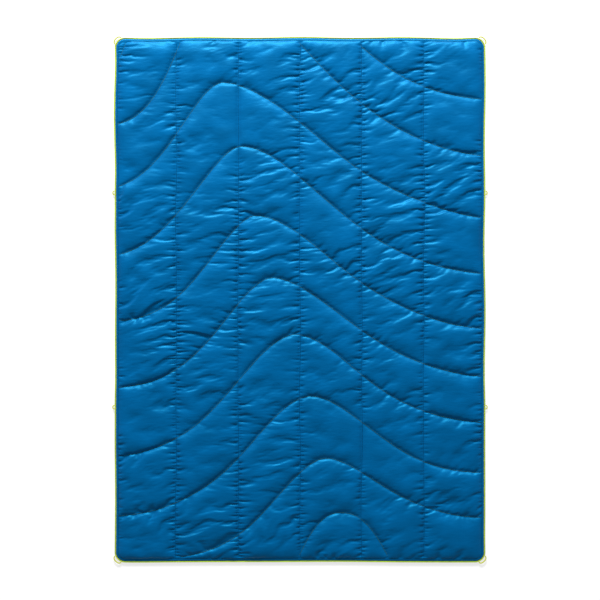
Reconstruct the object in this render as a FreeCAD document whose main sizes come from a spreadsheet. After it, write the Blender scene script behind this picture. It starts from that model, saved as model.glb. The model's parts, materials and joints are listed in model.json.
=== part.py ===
import FreeCAD, Part
import math
import os

import Sketcher
from FreeCAD import Placement, Rotation, Vector

# Quilted camp blanket, laid flat: two thin shells over a batting, quilted together along straight
# column seams and curved contour seams, with a piping round the edge and cord loops to peg it by.
#
# Millimetres. The origin is at the middle of the underside, +Z is up and +Y runs along the length.
# The blanket folds in half about its middle column seam, so each sheet-like piece is modelled in a
# left and a right half with a hairline gap between them. Each cord loop swings about its two ends.

doc = FreeCAD.newDocument("camp_blanket")

# ---------------------------------------------------------------- driving dimensions
DIMENSIONS = [
    ("Width", 1270.0),
    ("Length", 1798.0),
    ("CornerRadius", 36.0),
    ("Loft", 21.0),
    ("WebBottom", 4.5),
    ("WebTop", 7.5),
    ("WebMiddle", 6.0),
    ("ShellThickness", 0.4),
    ("FoldGap", 0.2),
    ("BorderWidth", 14.0),
    ("ChannelWidth", 8.0),
    ("ColumnPitch", 211.7),
    ("ColumnMargin", 18.0),
    ("EdgeStitchInset", 12.0),
    ("ThreadWidth", 1.2),
    ("ThreadHeight", 0.4),
    ("PipingDiameter", 3.0),
    ("TapeWidth", 4.0),
    ("TapeThickness", 1.6),
    ("ClosingSeamInset", 4.6),
    ("CordDiameter", 3.0),
    ("CordClearance", 0.3),
    ("CornerLoopAngle", 23.0),
    ("CornerLoopReach", 11.9),
    ("CornerLoopBend", 8.8),
    ("SideLoopSpan", 12.0),
    ("SideLoopReach", 4.3),
    ("SideLoopBend", 3.4),
    ("SideLoopOffset", 367.0),
    ("Overrun", 5.0),  # how far a cutting solid passes the faces that it cuts
]
sheet = doc.addObject("Spreadsheet::Sheet", "Dimensions")
for row, (alias, value) in enumerate(DIMENSIONS, start=1):
    sheet.set(f"A{row}", alias)
    sheet.set(f"B{row}", str(value))
    sheet.setAlias(f"B{row}", alias)
doc.recompute()
dim = {alias: float(sheet.get(alias)) for alias, _ in DIMENSIONS}

# Each contour seam is a bell curve: crest x, crest y, left foot, right foot, left width,
# right width and the power of its fall, then the range of x in which it is sewn.
CONTOURS = [
    (-540, 1000, 760, 1000, 70, 70, 1.8, -623, -592),
    (35, 968, 968, 680, 260, 285, 1.8, 206, 623),
    (-300, 1085, 590, 465, 157, 487, 1.8, -623, 623),
    (-266, 745, 363, 254, 205, 492, 1.8, -623, 623),
    (-204, 525, 135, 74, 230, 423, 1.8, -623, 623),
    (-151, 291, -75, -110, 217, 392, 1.8, -623, 623),
    (-94, 76, -309, -269, 246, 360, 1.8, -623, 623),
    (-19, -118, -545, -429, 293, 313, 1.8, -623, 623),
    (39, -329, -749, -598, 310, 280, 1.8, -623, 623),
    (89, -543, -893, -751, 254, 265, 1.8, -405, 623),
    (145, -728, -1400, -1400, 263, 280, 2.4, -2, 304),
]
CONTOUR_STEP = 22.0  # distance in x between the points of a contour's spline
RUN_OUT = 160.0  # how far a channel runs on, straight, past each end of its seam
SLOPE_STEP = 0.5  # distance in x to either side over which a contour's slope is measured
COLUMN_NUMBERS = range(1, 6)
MIDDLE_COLUMN = 3  # the column seam at the fold
ALL_LOW = "-Dimensions.Overrun"
ALL_HIGH = "Dimensions.Loft + Dimensions.Overrun"

HALVES = {"left": 0.0, "right": 180.0}  # the right half is the left one turned about Z
Z_AXIS = Vector(0, 0, 1)


# ---------------------------------------------------------------- shared building blocks
def number(expression):
    return float(sheet.evalExpression(expression))


def sketch_on(body, name, role):
    plane = next(f for f in body.Origin.OriginFeatures if f.Role == role)
    sketch = body.newObject("Sketcher::SketchObject", name)
    sketch.AttachmentSupport = [(plane, "")]
    sketch.MapMode = "FlatFace"
    return sketch


def constrain(sketch, *constraints):
    for constraint in constraints:
        sketch.addConstraint(Sketcher.Constraint(*constraint))


def constrain_size(sketch, name, expression, *constraint):
    """A driving constraint that takes its value from the sheet."""
    index = sketch.addConstraint(Sketcher.Constraint(*constraint, number(expression)))
    sketch.renameConstraint(index, name)
    sketch.setExpression(f"Constraints.{name}", expression)


def half_slab(name, inset, bottom, top, angle, past_fold="0"):
    """One half of the blanket's outline, inset from the edge, between two heights.

    The sketch draws the left half, with its straight side at the fold and its outer corners
    rounded. An angle of 180 degrees turns it into the right half.
    """
    body = doc.addObject("PartDesign::Body", name)
    body.Placement = Placement(Vector(0, 0, 0), Rotation(Z_AXIS, angle))
    body.setExpression("Placement.Base.z", bottom)
    sketch = sketch_on(body, name + "_sketch", "XY_Plane")
    half_width = dim["Width"] / 2
    half_length = dim["Length"] / 2
    corners = [
        Vector(0, -half_length, 0),
        Vector(0, half_length, 0),
        Vector(-half_width, half_length, 0),
        Vector(-half_width, -half_length, 0),
    ]
    for start, end in zip(corners, corners[1:] + corners[:1]):
        sketch.addGeometry(Part.LineSegment(start, end), False)
    constrain(
        sketch,
        ("Coincident", 0, 2, 1, 1),
        ("Coincident", 1, 2, 2, 1),
        ("Coincident", 2, 2, 3, 1),
        ("Coincident", 3, 2, 0, 1),
        ("Horizontal", 1),
        ("Vertical", 2),
        ("Horizontal", 3),
        ("Symmetric", 0, 1, 0, 2, -1),
    )
    fold_side = f"({past_fold}) - Dimensions.FoldGap / 2"
    constrain_size(sketch, "fold_side", fold_side, "DistanceX", -1, 1, 0, 1)
    outer_side = f"Dimensions.Width / 2 - ({inset})"
    constrain_size(sketch, "outer_side", outer_side, "DistanceX", 2, 2, -1, 1)
    length = f"Dimensions.Length - 2 * ({inset})"
    constrain_size(sketch, "length", length, "DistanceY", 0, 1, 0, 2)
    pad = body.newObject("PartDesign::Pad", name + "_pad")
    pad.Profile = sketch
    pad.setExpression("Length", f"({top}) - ({bottom})")
    sketch.recompute()
    pad.recompute()
    outer_x = min(vertex.Point.x for vertex in pad.Shape.Vertexes)
    corner_edges = []
    for index, edge in enumerate(pad.Shape.Edges, start=1):
        start, end = (vertex.Point for vertex in edge.Vertexes)
        outside = abs(start.x - outer_x) < 0.001 and abs(end.x - outer_x) < 0.001
        if outside and abs(start.z - end.z) > 0.001:
            corner_edges.append(f"Edge{index}")
    fillet = body.newObject("PartDesign::Fillet", name + "_corners")
    fillet.Base = (pad, corner_edges)
    fillet.setExpression("Radius", f"Dimensions.CornerRadius - ({inset})")
    return body


def boolean(kind, name, base, tool):
    result = doc.addObject("Part::" + kind, name)
    result.Base = base
    result.Tool = tool
    return result


def fuse(name, shapes):
    result = doc.addObject("Part::MultiFuse", name)
    result.Shapes = shapes
    return result


def half_ring(name, outer_inset, inner_inset, bottom, top, angle):
    """A strip along the edge of one half, round its two corners and open at the fold."""
    outer = half_slab(name + "_outer", outer_inset, bottom, top, angle)
    inner = half_slab(
        name + "_inner",
        inner_inset,
        f"({bottom}) - Dimensions.Overrun",
        f"({top}) + Dimensions.Overrun",
        angle,
        "Dimensions.Overrun",
    )
    return boolean("Cut", name, outer, inner)


def seam_bar(name, centre_x, width, end_margin, bottom, top):
    """A straight bar along Y, centred on a column seam."""
    bar = doc.addObject("Part::Box", name)
    bar.setExpression("Length", width)
    bar.setExpression("Width", f"Dimensions.Length - 2 * ({end_margin})")
    bar.setExpression("Height", f"({top}) - ({bottom})")
    bar.setExpression("Placement.Base.x", f"{centre_x} - ({width}) / 2")
    bar.setExpression("Placement.Base.y", f"({end_margin}) - Dimensions.Length / 2")
    bar.setExpression("Placement.Base.z", bottom)
    return bar


def contour_height(x, contour):
    crest_x, crest_y, left_foot, right_foot, left_width, right_width, power, _, _ = contour
    foot = left_foot if x < crest_x else right_foot
    width = left_width if x < crest_x else right_width
    return foot + (crest_y - foot) * math.exp(-((abs(x - crest_x) / width) ** power))


def contour_direction(x, contour):
    before = contour_height(x - SLOPE_STEP, contour)
    after = contour_height(x + SLOPE_STEP, contour)
    return Vector(2 * SLOPE_STEP, after - before, 0).normalize()


def contour_band(contour, start, end, width, bottom, top, run_out):
    """A band of constant width along a contour seam, with straight run-outs past its ends."""
    count = max(4, math.ceil((end - start) / CONTOUR_STEP))
    edges = []
    ends = []
    for side in (1, -1):
        points = []
        for i in range(count + 1):
            x = start + (end - start) * i / count
            along = contour_direction(x, contour)
            across = Vector(-along.y, along.x, 0) * (side * width / 2)
            points.append(Vector(x, contour_height(x, contour), 0) + across)
        spline = Part.BSplineCurve()
        spline.interpolate(points)
        edges.append(spline.toShape())
        first = points[0] - contour_direction(start, contour) * run_out
        last = points[-1] + contour_direction(end, contour) * run_out
        if run_out:
            edges.append(Part.makeLine(first, points[0]))
            edges.append(Part.makeLine(points[-1], last))
        ends.append((first, last))
    for upper, lower in zip(*ends):
        edges.append(Part.makeLine(upper, lower))
    face = Part.Face(Part.Wire(Part.__sortEdges__(edges)))
    band = face.extrude(Vector(0, 0, top - bottom))
    band.translate(Vector(0, 0, bottom))
    return band


def feature(name, shape):
    result = doc.addObject("Part::Feature", name)
    result.Shape = shape
    result.Placement = Placement()
    return result


# ---------------------------------------------------------------- quilted layers
def quilting_channels(name, extra_width):
    """The valleys over every seam but the border, full height, across both halves."""
    width = f"Dimensions.ChannelWidth + 2 * ({extra_width})"
    channels = [
        seam_bar(
            f"{name}_column_{i}",
            f"{i - MIDDLE_COLUMN} * Dimensions.ColumnPitch",
            width,
            ALL_LOW,
            ALL_LOW,
            ALL_HIGH,
        )
        for i in COLUMN_NUMBERS
    ]
    levels = (number(ALL_LOW), number(ALL_HIGH))
    for i, contour in enumerate(CONTOURS, start=1):
        band = contour_band(contour, *contour[-2:], number(width), *levels, RUN_OUT)
        channels.append(feature(f"{name}_contour_{i}", band))
    return fuse(name, channels)


def quilted_solid(name, inset, angle, channels):
    """One half, inset on all sides: puffs at full loft, joined by the web under the channels."""
    at_fold = f"-({inset})"
    border = f"Dimensions.BorderWidth + ({inset})"
    top = f"Dimensions.Loft - ({inset})"
    blank = half_slab(name + "_blank", border, inset, top, angle, at_fold)
    puffs = boolean("Cut", name + "_puffs", blank, channels)
    edge = f"Dimensions.PipingDiameter + ({inset})"
    web_bottom = f"Dimensions.WebBottom + ({inset})"
    web_top = f"Dimensions.WebTop - ({inset})"
    web = half_slab(name + "_web", edge, web_bottom, web_top, angle, at_fold)
    return fuse(name, [puffs, web])


def shells_and_batting():
    """The face shell, the back shell and the batting between them, for each half."""
    shell = "Dimensions.ShellThickness"
    outer_channels = quilting_channels("outer_channels", "0")
    inner_channels = quilting_channels("inner_channels", shell)
    tape_edge = f"Dimensions.PipingDiameter + {shell} + Dimensions.TapeWidth"
    pieces = []
    for side, angle in HALVES.items():
        envelope = quilted_solid(f"envelope_{side}", "0", angle, outer_channels)
        filling = quilted_solid(f"filling_{side}", shell, angle, inner_channels)
        shells = boolean("Cut", f"shells_{side}", envelope, filling)
        upper = half_slab(f"upper_{side}", "0", "Dimensions.WebMiddle", ALL_HIGH, angle)
        lower = half_slab(f"lower_{side}", "0", ALL_LOW, "Dimensions.WebMiddle", angle)
        allowance = half_ring(f"allowance_{side}", "0", tape_edge, ALL_LOW, ALL_HIGH, angle)
        pieces.append(boolean("Common", f"face_shell_{side}", shells, upper))
        pieces.append(boolean("Common", f"back_shell_{side}", shells, lower))
        pieces.append(boolean("Cut", f"batting_{side}", filling, allowance))
    return pieces


# ---------------------------------------------------------------- edge
def piping(side, angle):
    """A round piping along the edge of one half, round its two corners."""
    body = doc.addObject("PartDesign::Body", f"piping_{side}")
    body.Placement = Placement(Vector(0, 0, 0), Rotation(Z_AXIS, angle))
    body.setExpression("Placement.Base.z", "Dimensions.WebMiddle")
    body.setExpression(
        "Placement.Base.x", f"Dimensions.FoldGap / 2 * {-1 if side == 'left' else 1}"
    )
    radius = "Dimensions.PipingDiameter / 2"
    bend = number(f"Dimensions.CornerRadius - {radius}")
    reach_x = number(f"Dimensions.Width / 2 - Dimensions.FoldGap / 2 - {radius}")
    reach_y = number(f"Dimensions.Length / 2 - {radius}")
    path = sketch_on(body, f"piping_{side}_path", "XY_Plane")
    centre_x = bend - reach_x
    centre_y = reach_y - bend
    path.addGeometry(Part.LineSegment(Vector(0, reach_y, 0), Vector(centre_x, reach_y, 0)))
    corner = Part.Circle(Vector(centre_x, centre_y, 0), Z_AXIS, bend)
    path.addGeometry(Part.ArcOfCircle(corner, math.pi / 2, math.pi))
    path.addGeometry(Part.LineSegment(Vector(-reach_x, centre_y, 0), Vector(-reach_x, -centre_y, 0)))
    corner = Part.Circle(Vector(centre_x, -centre_y, 0), Z_AXIS, bend)
    path.addGeometry(Part.ArcOfCircle(corner, math.pi, 3 * math.pi / 2))
    path.addGeometry(Part.LineSegment(Vector(centre_x, -reach_y, 0), Vector(0, -reach_y, 0)))
    constrain(
        path,
        ("Horizontal", 0),
        ("Tangent", 0, 2, 1, 1),
        ("Tangent", 1, 2, 2, 1),
        ("Tangent", 2, 2, 3, 1),
        ("Tangent", 3, 2, 4, 1),
        ("Vertical", 2),
        ("Horizontal", 4),
        ("Equal", 1, 3),
        ("PointOnObject", 0, 1, -2),
        ("Symmetric", 0, 1, 4, 2, -1),
    )
    constrain_size(path, "reach_y", f"Dimensions.Length / 2 - {radius}", "DistanceY", -1, 1, 0, 1)
    constrain_size(path, "bend", f"Dimensions.CornerRadius - {radius}", "Radius", 1)
    outer_side = f"Dimensions.Width / 2 - Dimensions.FoldGap / 2 - {radius}"
    constrain_size(path, "outer_side", outer_side, "DistanceX", 2, 2, -1, 1)
    profile = sketch_on(body, f"piping_{side}_profile", "YZ_Plane")
    profile.addGeometry(Part.Circle(Vector(reach_y, 0, 0), Z_AXIS, number(radius)))
    constrain(profile, ("PointOnObject", 0, 3, -1))
    constrain_size(profile, "radius", radius, "Radius", 0)
    constrain_size(
        profile, "reach_y", f"Dimensions.Length / 2 - {radius}", "DistanceX", -1, 1, 0, 3
    )
    pipe = body.newObject("PartDesign::AdditivePipe", f"piping_{side}_pipe")
    pipe.Profile = profile
    pipe.Spine = path
    return body


def edge_pieces():
    """The piping, the tape that carries it and the closing seam's thread, for each half."""
    pieces = []
    tape_outer = "Dimensions.PipingDiameter + Dimensions.ShellThickness"
    tape_bottom = "Dimensions.WebBottom + Dimensions.ShellThickness"
    tape_top = f"{tape_bottom} + Dimensions.TapeThickness"
    thread = "Dimensions.ThreadWidth / 2"
    for side, angle in HALVES.items():
        pieces.append(piping(side, angle))
        pieces.append(
            half_ring(
                f"piping_tape_{side}",
                tape_outer,
                f"{tape_outer} + Dimensions.TapeWidth",
                tape_bottom,
                tape_top,
                angle,
            )
        )
        pieces.append(
            half_ring(
                f"closing_seam_{side}",
                f"Dimensions.ClosingSeamInset - {thread}",
                f"Dimensions.ClosingSeamInset + {thread}",
                tape_top,
                f"{tape_top} + Dimensions.ThreadHeight",
                angle,
            )
        )
    return pieces


# ---------------------------------------------------------------- quilting threads
THREAD_LEVELS = {
    # A seam's needle thread lies on the face and its bobbin thread on the back.
    "face": ("Dimensions.WebTop", "Dimensions.WebTop + Dimensions.ThreadHeight"),
    "back": ("Dimensions.WebBottom - Dimensions.ThreadHeight", "Dimensions.WebBottom"),
}
# The contour seams are sewn last, so their threads lie over those of the columns.
CONTOUR_LEVELS = {
    "face": (
        "Dimensions.WebTop + Dimensions.ThreadHeight",
        "Dimensions.WebTop + 2 * Dimensions.ThreadHeight",
    ),
    "back": (
        "Dimensions.WebBottom - 2 * Dimensions.ThreadHeight",
        "Dimensions.WebBottom - Dimensions.ThreadHeight",
    ),
}


def edge_stitch(side, angle):
    name = f"edge_stitch_{side}"
    thread = "Dimensions.ThreadWidth / 2"
    threads = [
        half_ring(
            f"{name}_{level}",
            f"Dimensions.EdgeStitchInset - {thread}",
            f"Dimensions.EdgeStitchInset + {thread}",
            bottom,
            top,
            angle,
        )
        for level, (bottom, top) in THREAD_LEVELS.items()
    ]
    return fuse(name, threads)


def column_stitch(number_from_left):
    """The two threads of one column seam. The middle one lies beside the fold, on the left."""
    name = f"column_stitch_{number_from_left}"
    place = number_from_left - MIDDLE_COLUMN
    centre = f"{place} * Dimensions.ColumnPitch"
    if place == 0:
        centre = "-(Dimensions.FoldGap + Dimensions.ThreadWidth) / 2"
    threads = [
        seam_bar(
            f"{name}_{level}", centre, "Dimensions.ThreadWidth", "Dimensions.ColumnMargin", bottom, top
        )
        for level, (bottom, top) in THREAD_LEVELS.items()
    ]
    return fuse(name, threads)


def sewn_ranges(contour):
    """The ranges of x in which a contour seam lies between the end margins, split at the fold."""
    limit = number("Dimensions.Length / 2 - Dimensions.ColumnMargin")
    fold = number("Dimensions.FoldGap / 2 + Dimensions.ThreadWidth")
    ranges = []
    for side, low, high in (("left", -dim["Width"], -fold), ("right", fold, dim["Width"])):
        first_x, last_x = contour[-2:]
        low = max(low, first_x)
        high = min(high, last_x)
        inside = [
            x
            for x in range(math.ceil(low), math.floor(high) + 1)
            if abs(contour_height(x, contour)) < limit
        ]
        breaks = [i for i in range(1, len(inside)) if inside[i] - inside[i - 1] > 1]
        for start, end in zip([0, *breaks], [*breaks, len(inside)]):
            if end - start > dim["ChannelWidth"]:
                ranges.append((side, inside[start], inside[end - 1]))
    return ranges


def contour_stitches():
    """The needle and bobbin threads of each contour seam, one node for each half it crosses."""
    pieces = []
    for i, contour in enumerate(CONTOURS, start=1):
        for side, start, end in sewn_ranges(contour):
            threads = [
                contour_band(
                    contour, start, end, dim["ThreadWidth"], number(bottom), number(top), 0
                )
                for bottom, top in CONTOUR_LEVELS.values()
            ]
            pieces.append(feature(f"contour_stitch_{i:02d}_{side}", Part.makeCompound(threads)))
    return pieces


# ---------------------------------------------------------------- cord loops
def cord_loop(name, span, reach, bend):
    """A cord bent into a flat loop: its ends stand on the local X axis and it opens along +Y."""
    body = doc.addObject("PartDesign::Body", name)
    half_span = number(span) / 2
    length = number(reach)
    curve = number(bend)
    path = sketch_on(body, name + "_path", "XY_Plane")
    rise = length - curve
    run = half_span - curve
    path.addGeometry(Part.LineSegment(Vector(-half_span, 0, 0), Vector(-half_span, rise, 0)))
    turn = Part.Circle(Vector(-run, rise, 0), Z_AXIS, curve)
    path.addGeometry(Part.ArcOfCircle(turn, math.pi / 2, math.pi))
    path.addGeometry(Part.LineSegment(Vector(-run, length, 0), Vector(run, length, 0)))
    turn = Part.Circle(Vector(run, rise, 0), Z_AXIS, curve)
    path.addGeometry(Part.ArcOfCircle(turn, 0, math.pi / 2))
    path.addGeometry(Part.LineSegment(Vector(half_span, rise, 0), Vector(half_span, 0, 0)))
    constrain(
        path,
        ("Tangent", 0, 2, 1, 2),
        ("Tangent", 1, 1, 2, 1),
        ("Tangent", 2, 2, 3, 2),
        ("Tangent", 3, 1, 4, 1),
        ("Horizontal", 2),
        ("Equal", 1, 3),
        ("Vertical", 0),
        ("Vertical", 4),
        ("PointOnObject", 0, 1, -1),
        ("Symmetric", 0, 1, 4, 2, -2),
    )
    constrain_size(path, "span", span, "DistanceX", 0, 1, 4, 2)
    constrain_size(path, "reach", reach, "DistanceY", -1, 1, 2, 1)
    constrain_size(path, "bend", bend, "Radius", 1)
    profile = sketch_on(body, name + "_profile", "XZ_Plane")
    radius = "Dimensions.CordDiameter / 2"
    profile.addGeometry(Part.Circle(Vector(-half_span, 0, 0), Z_AXIS, number(radius)))
    constrain(profile, ("PointOnObject", 0, 3, -1))
    constrain_size(profile, "radius", radius, "Radius", 0)
    constrain_size(profile, "half_span", f"({span}) / 2", "DistanceX", 0, 3, -1, 1)
    pipe = body.newObject("PartDesign::AdditivePipe", name + "_pipe")
    pipe.Profile = profile
    pipe.Spine = path
    return body


def place_loop(body, x, y, direction):
    """Puts a loop's hinge at a point of the edge, at web height, opening in a direction."""
    body.Placement = Placement(Vector(0, 0, 0), Rotation(Z_AXIS, direction - 90))
    body.setExpression("Placement.Base.x", x)
    body.setExpression("Placement.Base.y", y)
    body.setExpression("Placement.Base.z", "Dimensions.WebMiddle")
    return body


def corner_loops():
    """A loop across each rounded corner, its ends just clear of the piping."""
    end_radius = "(Dimensions.CornerRadius + Dimensions.CordClearance + Dimensions.CordDiameter / 2)"
    span = f"2 * {end_radius} * sin(Dimensions.CornerLoopAngle * 1 deg)"
    hinge = f"{end_radius} * cos(Dimensions.CornerLoopAngle * 1 deg) * sin(45 deg)"
    across = f"(Dimensions.Width / 2 - Dimensions.CornerRadius + {hinge})"
    along = f"(Dimensions.Length / 2 - Dimensions.CornerRadius + {hinge})"
    corners = {
        "head_right": (1, 1, 45),
        "head_left": (-1, 1, 135),
        "foot_left": (-1, -1, 225),
        "foot_right": (1, -1, 315),
    }
    return [
        place_loop(
            cord_loop(
                f"corner_loop_{corner}",
                span,
                "Dimensions.CornerLoopReach",
                "Dimensions.CornerLoopBend",
            ),
            f"{sign_x} * {across}",
            f"{sign_y} * {along}",
            direction,
        )
        for corner, (sign_x, sign_y, direction) in corners.items()
    ]


def side_loops():
    """Two small loops on each long edge."""
    across = "(Dimensions.Width / 2 + Dimensions.CordClearance + Dimensions.CordDiameter / 2)"
    sides = {
        "upper_right": (1, 1, 0),
        "upper_left": (-1, 1, 180),
        "lower_left": (-1, -1, 180),
        "lower_right": (1, -1, 0),
    }
    return [
        place_loop(
            cord_loop(
                f"side_loop_{place}",
                "Dimensions.SideLoopSpan",
                "Dimensions.SideLoopReach",
                "Dimensions.SideLoopBend",
            ),
            f"{sign_x} * {across}",
            f"{sign_y} * Dimensions.SideLoopOffset",
            direction,
        )
        for place, (sign_x, sign_y, direction) in sides.items()
    ]


# ---------------------------------------------------------------- assembly
nodes = [
    *shells_and_batting(),
    *edge_pieces(),
    *[edge_stitch(side, angle) for side, angle in HALVES.items()],
    *[column_stitch(i) for i in COLUMN_NUMBERS],
    *contour_stitches(),
    *corner_loops(),
    *side_loops(),
]
doc.recompute()

for item in doc.Objects:
    if "Invalid" in item.State or "Error" in item.State:
        raise RuntimeError(f"{item.Name} failed to recompute: {item.State}")
for node in nodes:
    if node.Shape.isNull() or not node.Shape.isValid():
        raise RuntimeError(f"{node.Label} has no valid shape")

os.makedirs("parts", exist_ok=True)
for node in nodes:
    node.Shape.exportStep(f"parts/{node.Label}.step")
    print(node.Label, len(node.Shape.Solids), "solids,", round(node.Shape.Volume), "mm3")
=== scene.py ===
"""A quilted camp blanket laid flat, seen from straight above.

Metres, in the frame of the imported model: +Z up, +Y along the blanket, origin under its middle.
Both shells come from one fabric solver: a sheet with more cloth than the quilting allows lies on
the soft filling, held down along every seam, and buckles into puckers and wrinkles.
"""
import json
import math
from collections import namedtuple

import bpy
import numpy as np
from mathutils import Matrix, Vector


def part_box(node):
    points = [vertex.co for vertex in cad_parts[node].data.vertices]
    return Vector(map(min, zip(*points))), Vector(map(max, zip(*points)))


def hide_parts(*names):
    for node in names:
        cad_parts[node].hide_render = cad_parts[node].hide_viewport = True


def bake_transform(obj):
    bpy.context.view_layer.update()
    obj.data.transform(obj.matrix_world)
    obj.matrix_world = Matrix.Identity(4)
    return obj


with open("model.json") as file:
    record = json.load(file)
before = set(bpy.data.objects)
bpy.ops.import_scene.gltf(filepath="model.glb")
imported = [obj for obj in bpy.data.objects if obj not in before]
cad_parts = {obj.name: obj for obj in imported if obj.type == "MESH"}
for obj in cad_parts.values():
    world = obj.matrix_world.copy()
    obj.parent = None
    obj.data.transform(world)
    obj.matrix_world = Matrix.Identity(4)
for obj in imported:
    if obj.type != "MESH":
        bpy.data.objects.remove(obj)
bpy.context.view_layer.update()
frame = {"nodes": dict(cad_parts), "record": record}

MM = 0.001
# Keeps a division by a length of zero finite.
TINY = 1e-9

# ------------------------------ sizes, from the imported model
piping_low, piping_high = (np.array(p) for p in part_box("piping_left"))
OUTER_X = -piping_low[0]
OUTER_Y = piping_high[1]
# The web is the layer, as thick as the piping, in which the shells are sewn together.
WEB_BOTTOM = piping_low[2]
WEB_TOP = piping_high[2]
WEB_MIDDLE = (WEB_BOTTOM + WEB_TOP) / 2
PIPING_THICKNESS = WEB_TOP - WEB_BOTTOM
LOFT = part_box("face_shell_left")[1][2]
CORNER_RADIUS = 36 * MM


def middle_x(name):
    low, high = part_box(name)
    return (low[0] + high[0]) / 2


column_low, column_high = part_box("column_stitch_2")
THREAD_RADIUS = (column_high[0] - column_low[0]) / 2
COLUMN_END = column_high[1]
STITCH_INSET = OUTER_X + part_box("edge_stitch_left")[0][0] + THREAD_RADIUS
# Where each column seam lies in x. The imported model's middle one lies just left of the fold, and
# here it runs along the fold itself.
MIDDLE_COLUMN = 3
COLUMNS = [
    middle_x(f"column_stitch_{i}") if i != MIDDLE_COLUMN else 0.0
    for i in range(1, 6)
]

# Each contour seam is a bell curve, as in the design: it falls from its crest to a foot on either
# side, with a width on either side and a power, and is sewn from start_x to end_x.
Contour = namedtuple(
    "Contour",
    "crest_x crest_y left_foot right_foot left_width right_width power start_x end_x",
)
CONTOURS = [
    Contour(-0.540, 1.000, 0.760, 1.000, 0.070, 0.070, 1.8, -0.623, -0.592),
    Contour(0.035, 0.968, 0.968, 0.680, 0.260, 0.285, 1.8, 0.206, 0.623),
    Contour(-0.300, 1.085, 0.590, 0.465, 0.157, 0.487, 1.8, -0.623, 0.623),
    Contour(-0.266, 0.745, 0.363, 0.254, 0.205, 0.492, 1.8, -0.623, 0.623),
    Contour(-0.204, 0.525, 0.135, 0.074, 0.230, 0.423, 1.8, -0.623, 0.623),
    Contour(-0.151, 0.291, -0.075, -0.110, 0.217, 0.392, 1.8, -0.623, 0.623),
    Contour(-0.094, 0.076, -0.309, -0.269, 0.246, 0.360, 1.8, -0.623, 0.623),
    Contour(-0.019, -0.118, -0.545, -0.429, 0.293, 0.313, 1.8, -0.623, 0.623),
    Contour(0.039, -0.329, -0.749, -0.598, 0.310, 0.280, 1.8, -0.623, 0.623),
    Contour(0.089, -0.543, -0.893, -0.751, 0.254, 0.265, 1.8, -0.405, 0.623),
    Contour(0.145, -0.728, -1.400, -1.400, 0.263, 0.280, 2.4, -0.002, 0.304),
]

# The imported model folds along the quilt's middle; this is a reach on either side of that fold.
FOLD_REACH = 30 * MM
# Away from the columns the wrinkles rise to the right at about this angle, in radians.
SLANT = 0.45
# Next to the piping the shells turn down over the lip to the groove's height, run level there,
# and end a little inside the piping, where they are sewn in.
LIP = 4.4 * MM
GROOVE = WEB_BOTTOM + 0.5 * MM
GROOVE_WIDTH = 1.3 * MM
SEWN_IN = 0.9 * MM
FABRIC_X = OUTER_X - PIPING_THICKNESS + SEWN_IN
FABRIC_Y = OUTER_Y - PIPING_THICKNESS + SEWN_IN
EDGE_STITCH_X = OUTER_X - STITCH_INSET
EDGE_STITCH_Y = OUTER_Y - STITCH_INSET


def contour_height(x, contour):
    """The y of a contour seam at each x."""
    left = x < contour.crest_x
    foot = np.where(left, contour.left_foot, contour.right_foot)
    width = np.where(left, contour.left_width, contour.right_width)
    fall = np.exp(-(np.abs(x - contour.crest_x) / width) ** contour.power)
    return foot + (contour.crest_y - foot) * fall


# ------------------------------ the quilting grid
# A contour seam is looked at in steps this long, and this near to a line counts as on it.
SEAM_SAMPLING = 0.5 * MM
ON_THE_LINE = 1e-5


def spaced(stops, step):
    """Numbers from the first stop to the last, about a step apart, that include every stop."""
    runs = [
        np.linspace(a, b, max(1, round((b - a) / step)) + 1)[1:] for a, b in zip(stops, stops[1:])
    ]
    return np.concatenate([[stops[0]], *runs])


def slide_onto_contour(contour, grid, on_column, step_x, step_y):
    """Moves the vertices nearest to a contour seam onto it, and marks them as sewn."""
    xs, ys, flat_x, flat_y, sewn = grid
    seam_x = np.arange(contour.start_x, contour.end_x, SEAM_SAMPLING)
    seam_y = contour_height(seam_x, contour)
    steep = np.abs(np.gradient(seam_y, seam_x)) > step_y / step_x
    near_column = np.min(np.abs(seam_x[:, None] - np.array(COLUMNS)), 1) < step_x / 2
    within = np.abs(seam_y) < COLUMN_END
    # On gentle runs each column's nearest vertex slides along Y onto the seam.
    for j in np.nonzero((xs >= seam_x[0]) & (xs <= seam_x[-1]))[0]:
        i = np.argmin(abs(seam_x - xs[j]))
        if within[i] and (not steep[i] or on_column[j]):
            k = np.argmin(abs(ys - seam_y[i]))
            flat_y[k, j] = seam_y[i]
            sewn[k, j] = True
    # On steep runs each row's nearest vertex slides along X.
    crossing = (seam_y[:-1, None] - ys) * (seam_y[1:, None] - ys) <= 0
    for i, k in zip(*np.nonzero(crossing & (steep & within & ~near_column)[:-1, None])):
        j = np.argmin(abs(xs - seam_x[i]))
        if not on_column[j]:
            flat_x[k, j] = seam_x[i]
            sewn[k, j] = True


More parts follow.
